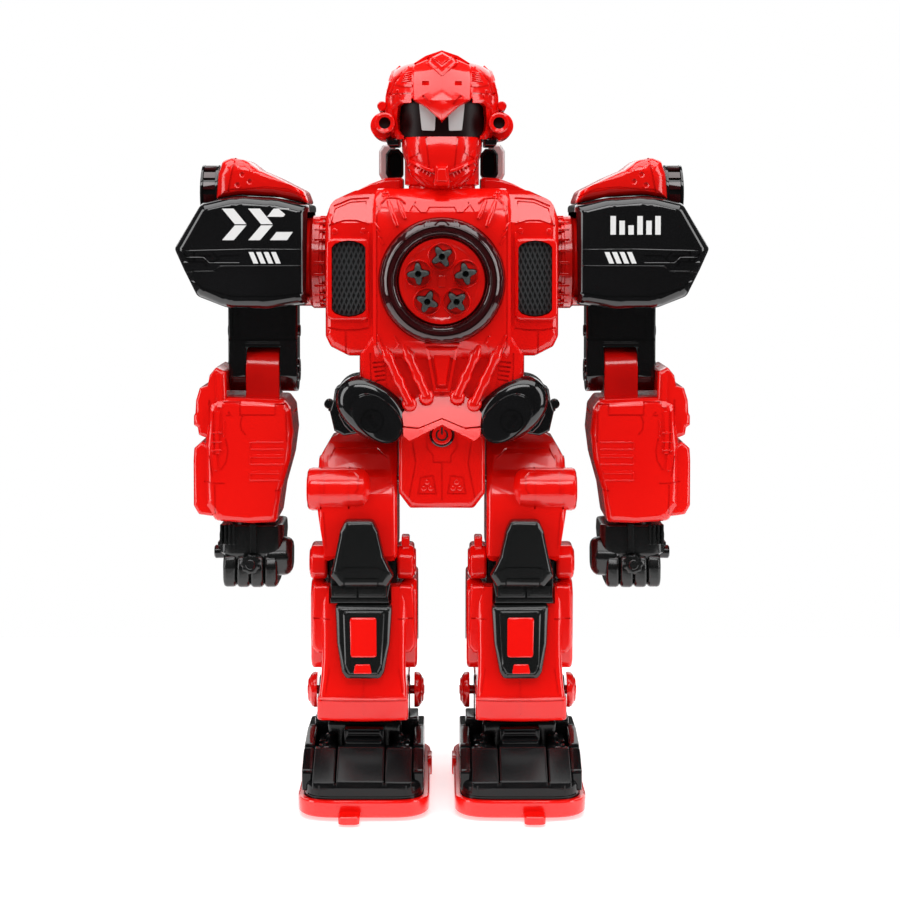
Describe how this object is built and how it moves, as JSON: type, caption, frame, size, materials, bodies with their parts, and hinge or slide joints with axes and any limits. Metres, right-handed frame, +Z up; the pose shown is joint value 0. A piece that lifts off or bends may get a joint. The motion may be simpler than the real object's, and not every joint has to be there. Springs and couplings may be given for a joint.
{
  "type": "toy robot",
  "caption": "Upright toy robot with a foam-dart chest launcher, turning head, jointed arms and wheeled feet, in red and black plastic.",
  "frame": {"origin": "on the floor, at the middle of the object's outline seen from above", "axes": "+Z is up; the face and the toes point along -Y; the robot's own left side is at +X and its right side at -X"},
  "size_m": [0.277, 0.142, 0.39],
  "materials": {
    "red_plastic": "glossy bright red moulded plastic",
    "black_plastic": "glossy black moulded plastic",
    "satin_black": "satin black moulded plastic",
    "grille_black": "matte black mesh plastic",
    "smoked_red": "dark smoked red, polished and slightly see-through",
    "silver_plastic": "silver-grey plated plastic",
    "dart_rubber": "soft grey-black rubber",
    "wheel_rubber": "plain black rubber tyres",
    "steel": "plain drawn steel",
    "board_green": "green coated circuit board"
  },
  "bodies": {
    "torso": {"torso_front_shell": "red_plastic", "torso_back_shell": "red_plastic", "launcher_ring": "smoked_red", "launcher_face": "red_plastic", "launcher_motor": "black_plastic", "battery_pack": "black_plastic", "battery_door": "red_plastic", "circuit_board": "board_green", "loudspeaker": "black_plastic", "hip_axle": "steel", "speaker_grille_right": "grille_black", "speaker_grille_left": "grille_black", "hip_pod_right": "black_plastic", "hip_pod_left": "black_plastic", "exhaust_right": "silver_plastic", "exhaust_left": "silver_plastic"},
    "head": {"helmet_shell": "red_plastic", "helmet_crest": "red_plastic", "visor": "smoked_red", "eye_reflector": "silver_plastic", "face_mask": "red_plastic", "ear_pod_right": "red_plastic", "ear_pod_left": "red_plastic"},
    "power_button": {"power_button": "red_plastic"},
    "dart_1": {"dart_1": "dart_rubber"},
    "dart_2": {"dart_2": "dart_rubber"},
    "dart_3": {"dart_3": "dart_rubber"},
    "dart_4": {"dart_4": "dart_rubber"},
    "dart_5": {"dart_5": "dart_rubber"},
    "arm_right": {"shoulder_drum_right": "red_plastic", "shoulder_armour_right": "black_plastic", "shoulder_cap_right": "red_plastic", "upper_arm_right": "black_plastic", "elbow_pin_right": "steel"},
    "forearm_right": {"forearm_right": "red_plastic"},
    "hand_right": {"hand_right": "black_plastic"},
    "leg_right": {"thigh_right": "red_plastic", "knee_guard_right": "satin_black", "shin_right": "red_plastic", "shin_pad_right": "satin_black", "ankle_axle_right": "red_plastic"},
    "foot_right": {"foot_upper_right": "black_plastic", "foot_plate_right": "red_plastic"},
    "wheels_right": {"wheel_set_right": "wheel_rubber"},
    "arm_left": {"shoulder_drum_left": "red_plastic", "shoulder_armour_left": "black_plastic", "shoulder_cap_left": "red_plastic", "upper_arm_left": "black_plastic", "elbow_pin_left": "steel"},
    "forearm_left": {"forearm_left": "red_plastic"},
    "hand_left": {"hand_left": "black_plastic"},
    "leg_left": {"thigh_left": "red_plastic", "knee_guard_left": "satin_black", "shin_left": "red_plastic", "shin_pad_left": "satin_black", "ankle_axle_left": "red_plastic"},
    "foot_left": {"foot_upper_left": "black_plastic", "foot_plate_left": "red_plastic"},
    "wheels_left": {"wheel_set_left": "wheel_rubber"}
  },
  "joints": [
    {"name": "head_turn", "type": "hinge", "parent": "torso", "child": "head", "pos_m": [0, 0.015, 0.318], "axis": [0, 0, 1], "range_deg": [-30, 30]},
    {"name": "power_press", "type": "slide", "parent": "torso", "child": "power_button", "axis": [0, 1, 0], "range_m": [0, 0.0015], "stiffness_N_per_m": 400},
    {"name": "dart_1_shot", "type": "slide", "parent": "torso", "child": "dart_1", "axis": [0, -1, 0], "range_m": [0, 0.05]},
    {"name": "dart_2_shot", "type": "slide", "parent": "torso", "child": "dart_2", "axis": [0, -1, 0], "range_m": [0, 0.05]},
    {"name": "dart_3_shot", "type": "slide", "parent": "torso", "child": "dart_3", "axis": [0, -1, 0], "range_m": [0, 0.05]},
    {"name": "dart_4_shot", "type": "slide", "parent": "torso", "child": "dart_4", "axis": [0, -1, 0], "range_m": [0, 0.05]},
    {"name": "dart_5_shot", "type": "slide", "parent": "torso", "child": "dart_5", "axis": [0, -1, 0], "range_m": [0, 0.05]},
    {"name": "shoulder_right", "type": "hinge", "parent": "torso", "child": "arm_right", "pos_m": [-0.0655, 0.021, 0.2795], "axis": [-1, 0, 0], "range_deg": [-40, 170]},
    {"name": "elbow_right", "type": "hinge", "parent": "arm_right", "child": "forearm_right", "pos_m": [-0.0948, 0.021, 0.222], "axis": [-1, 0, 0], "range_deg": [0, 90]},
    {"name": "wrist_right", "type": "hinge", "parent": "forearm_right", "child": "hand_right", "pos_m": [-0.103, 0.019, 0.1415], "axis": [0, 0, 1], "range_deg": [-90, 90]},
    {"name": "hip_right", "type": "hinge", "parent": "torso", "child": "leg_right", "pos_m": [-0.0404, 0.021, 0.163], "axis": [-1, 0, 0], "range_deg": [-10, 10]},
    {"name": "ankle_right", "type": "hinge", "parent": "leg_right", "child": "foot_right", "pos_m": [-0.0404, 0.021, 0.0495], "axis": [-1, 0, 0], "range_deg": [-10, 10]},
    {"name": "wheels_right", "type": "hinge", "parent": "foot_right", "child": "wheels_right", "pos_m": [-0.0404, 0.043, 0.009], "axis": [1, 0, 0], "continuous": true},
    {"name": "shoulder_left", "type": "hinge", "parent": "torso", "child": "arm_left", "pos_m": [0.0655, 0.021, 0.2795], "axis": [-1, 0, 0], "range_deg": [-40, 170]},
    {"name": "elbow_left", "type": "hinge", "parent": "arm_left", "child": "forearm_left", "pos_m": [0.0948, 0.021, 0.222], "axis": [-1, 0, 0], "range_deg": [0, 90]},
    {"name": "wrist_left", "type": "hinge", "parent": "forearm_left", "child": "hand_left", "pos_m": [0.103, 0.019, 0.1415], "axis": [0, 0, 1], "range_deg": [-90, 90]},
    {"name": "hip_left", "type": "hinge", "parent": "torso", "child": "leg_left", "pos_m": [0.0404, 0.021, 0.163], "axis": [-1, 0, 0], "range_deg": [-10, 10]},
    {"name": "ankle_left", "type": "hinge", "parent": "leg_left", "child": "foot_left", "pos_m": [0.0404, 0.021, 0.0495], "axis": [-1, 0, 0], "range_deg": [-10, 10]},
    {"name": "wheels_left", "type": "hinge", "parent": "foot_left", "child": "wheels_left", "pos_m": [0.0404, 0.043, 0.009], "axis": [1, 0, 0], "continuous": true}
  ],
  "couplings": [
    {"joint": "hip_left", "follows": "hip_right", "ratio": -1},
    {"joint": "ankle_right", "follows": "hip_right", "ratio": -1},
    {"joint": "ankle_left", "follows": "hip_right", "ratio": 1}
  ]
}
